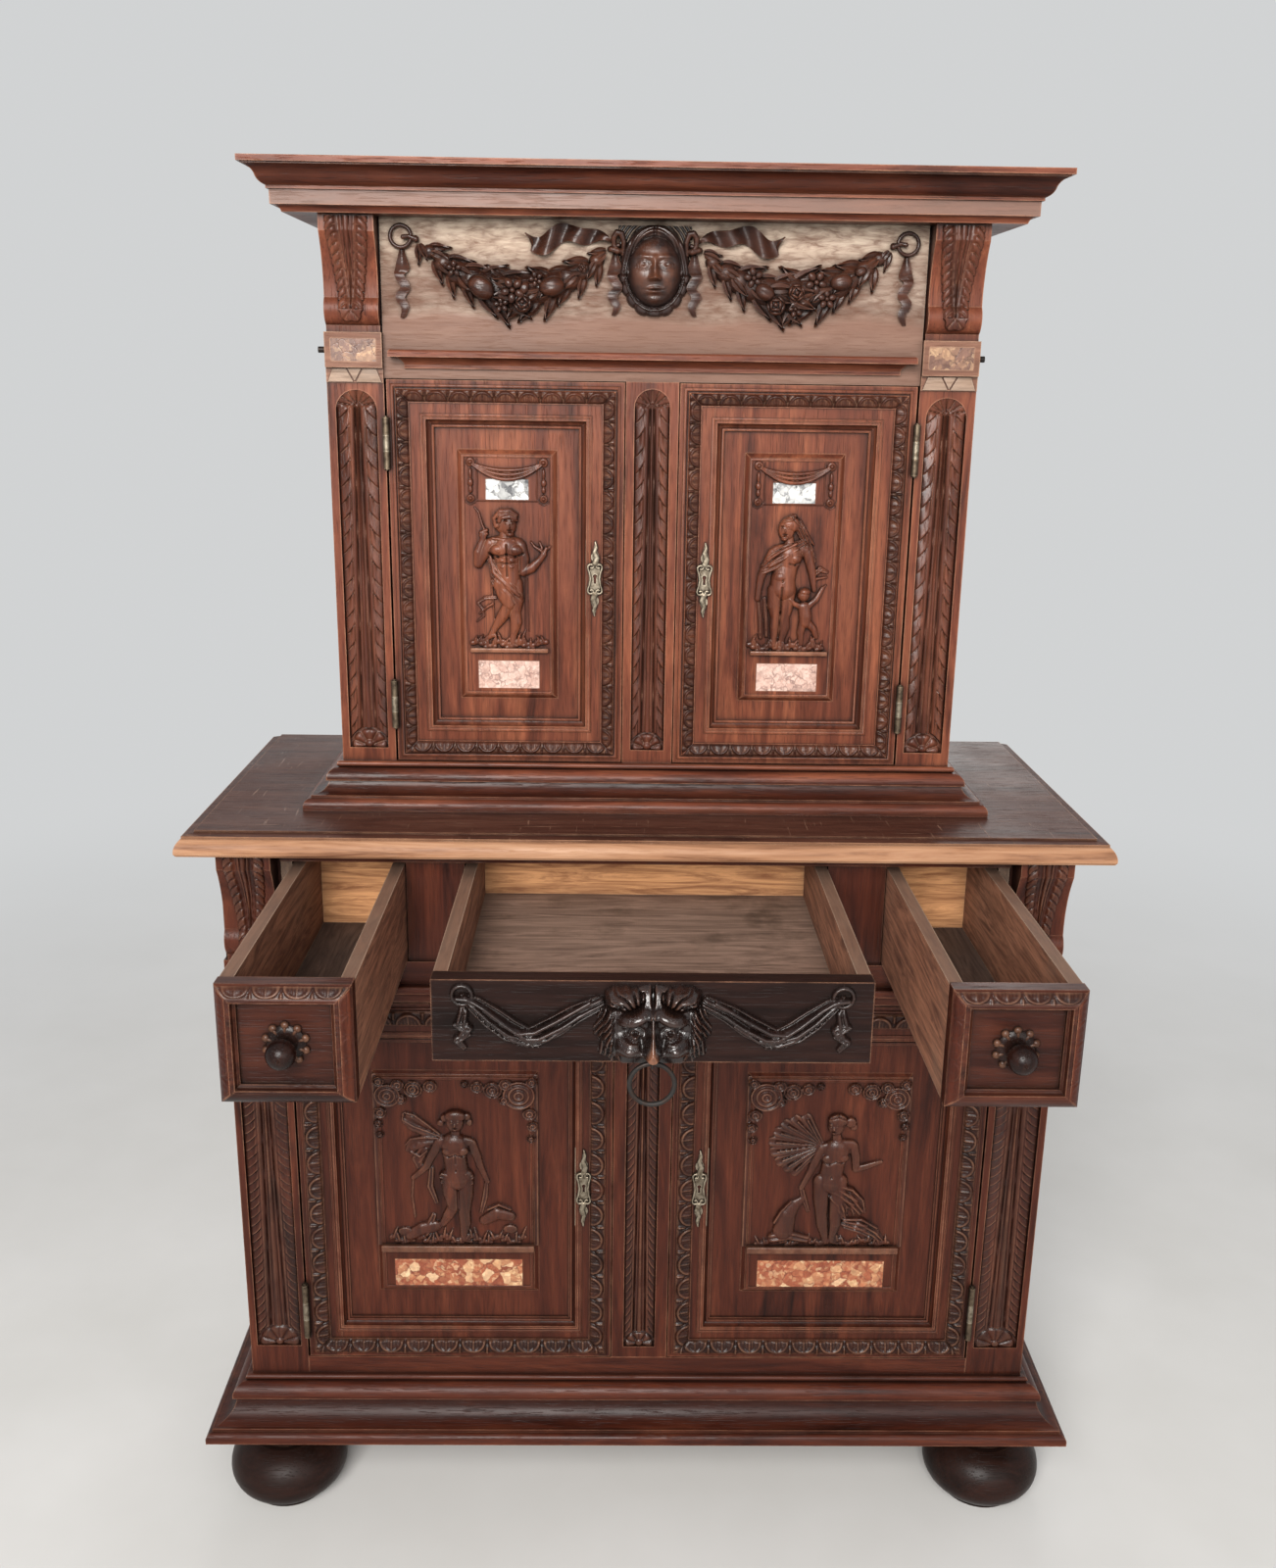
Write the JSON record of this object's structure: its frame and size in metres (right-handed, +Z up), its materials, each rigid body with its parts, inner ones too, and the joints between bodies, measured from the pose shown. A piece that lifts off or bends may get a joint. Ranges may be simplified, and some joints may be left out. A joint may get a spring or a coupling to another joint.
{
  "type": "two-stage carved buffet",
  "caption": "Carved walnut buffet in two stages: cupboard doors below and above, drawers under a moulded table top, frieze and cornice, on bun feet.",
  "frame": {"origin": "on the floor, under the middle of the box that holds the buffet with its drawers pulled out", "axes": "+Z up, the doors and drawers face -Y, +X to the right seen from the front"},
  "size_m": [1.1, 0.8076, 1.6739],
  "materials": {
    "walnut": "waxed, worn",
    "tan_walnut": "waxed, worn",
    "oak": "dry",
    "brown_marble": "worn polish",
    "pale_marble": "polished",
    "red_marble": "polished",
    "iron": "dark, rubbed"
  },
  "bodies": {
    "carcass": {"bun_feet": "walnut", "plinth_moulding": "walnut", "floor_and_top_boards": "oak", "posts": "walnut", "lower_pilasters": "walnut", "upper_pilasters": "walnut", "lower_sides": "walnut", "upper_sides": "walnut", "back_planks": "oak", "rails": "walnut", "rail_mouldings": "walnut", "drawer_dividers": "walnut", "drawer_runners": "oak", "table_top": "walnut", "lower_consoles": "walnut", "upper_consoles": "walnut", "upper_plinth_moulding": "walnut", "frieze_blocks": "tan_walnut", "block_marbles": "brown_marble", "frieze_board": "tan_walnut", "frieze_mask": "walnut", "frieze_garlands": "walnut", "cornice": "walnut", "shelves": "oak", "carcass_hinge_leaves": "iron", "side_pegs": "iron"},
    "left_drawer": {"left_drawer_front": "walnut", "left_drawer_box": "oak", "left_drawer_knob": "walnut"},
    "right_drawer": {"right_drawer_front": "walnut", "right_drawer_box": "oak", "right_drawer_knob": "walnut"},
    "centre_drawer": {"centre_drawer_front": "walnut", "centre_drawer_box": "oak", "lion_mask": "walnut"},
    "ring_pull": {"ring_pull": "iron"},
    "upper_left_door": {"upper_left_door_frame": "walnut", "upper_left_door_moulding": "walnut", "upper_left_door_panel": "walnut", "upper_left_door_marble": "pale_marble", "upper_left_door_fittings": "iron"},
    "upper_left_door_bolt": {"upper_left_door_lock_bolt": "iron"},
    "upper_right_door": {"upper_right_door_frame": "walnut", "upper_right_door_moulding": "walnut", "upper_right_door_panel": "walnut", "upper_right_door_marble": "pale_marble", "upper_right_door_fittings": "iron"},
    "upper_right_door_bolt": {"upper_right_door_lock_bolt": "iron"},
    "lower_left_door": {"lower_left_door_frame": "walnut", "lower_left_door_moulding": "walnut", "lower_left_door_panel": "walnut", "lower_left_door_marble": "red_marble", "lower_left_door_fittings": "iron"},
    "lower_left_door_bolt": {"lower_left_door_lock_bolt": "iron"},
    "lower_right_door": {"lower_right_door_frame": "walnut", "lower_right_door_moulding": "walnut", "lower_right_door_panel": "walnut", "lower_right_door_marble": "red_marble", "lower_right_door_fittings": "iron"},
    "lower_right_door_bolt": {"lower_right_door_lock_bolt": "iron"}
  },
  "joints": [
    {"name": "left_drawer_slide", "type": "slide", "parent": "carcass", "child": "left_drawer", "axis": [0, -1, 0], "range_m": [-0.313, 0.03]},
    {"name": "right_drawer_slide", "type": "slide", "parent": "carcass", "child": "right_drawer", "axis": [0, -1, 0], "range_m": [-0.313, 0.03]},
    {"name": "centre_drawer_slide", "type": "slide", "parent": "carcass", "child": "centre_drawer", "axis": [0, -1, 0], "range_m": [-0.305, 0.02]},
    {"name": "ring_pull_swing", "type": "hinge", "parent": "centre_drawer", "child": "ring_pull", "pos_m": [0, -0.36425, 0.8319], "axis": [-1, 0, 0], "range_deg": [-10, 85]},
    {"name": "upper_left_door_hinge", "type": "hinge", "parent": "carcass", "child": "upper_left_door", "pos_m": [-0.3012, 0.07445, 1.2294], "axis": [0, 0, -1], "range_deg": [0, 105]},
    {"name": "upper_left_door_bolt_slide", "type": "slide", "parent": "upper_left_door", "child": "upper_left_door_bolt", "axis": [1, 0, 0], "range_m": [0, 0.008]},
    {"name": "upper_right_door_hinge", "type": "hinge", "parent": "carcass", "child": "upper_right_door", "pos_m": [0.3012, 0.07445, 1.2294], "axis": [0, 0, 1], "range_deg": [0, 105]},
    {"name": "upper_right_door_bolt_slide", "type": "slide", "parent": "upper_right_door", "child": "upper_right_door_bolt", "axis": [-1, 0, 0], "range_m": [0, 0.008]},
    {"name": "lower_left_door_hinge", "type": "hinge", "parent": "carcass", "child": "lower_left_door", "pos_m": [-0.4242, -0.02655, 0.4855], "axis": [0, 0, -1], "range_deg": [0, 105]},
    {"name": "lower_left_door_bolt_slide", "type": "slide", "parent": "lower_left_door", "child": "lower_left_door_bolt", "axis": [1, 0, 0], "range_m": [0, 0.008]},
    {"name": "lower_right_door_hinge", "type": "hinge", "parent": "carcass", "child": "lower_right_door", "pos_m": [0.4242, -0.02655, 0.4855], "axis": [0, 0, 1], "range_deg": [0, 105]},
    {"name": "lower_right_door_bolt_slide", "type": "slide", "parent": "lower_right_door", "child": "lower_right_door_bolt", "axis": [-1, 0, 0], "range_m": [0, 0.008]}
  ]
}
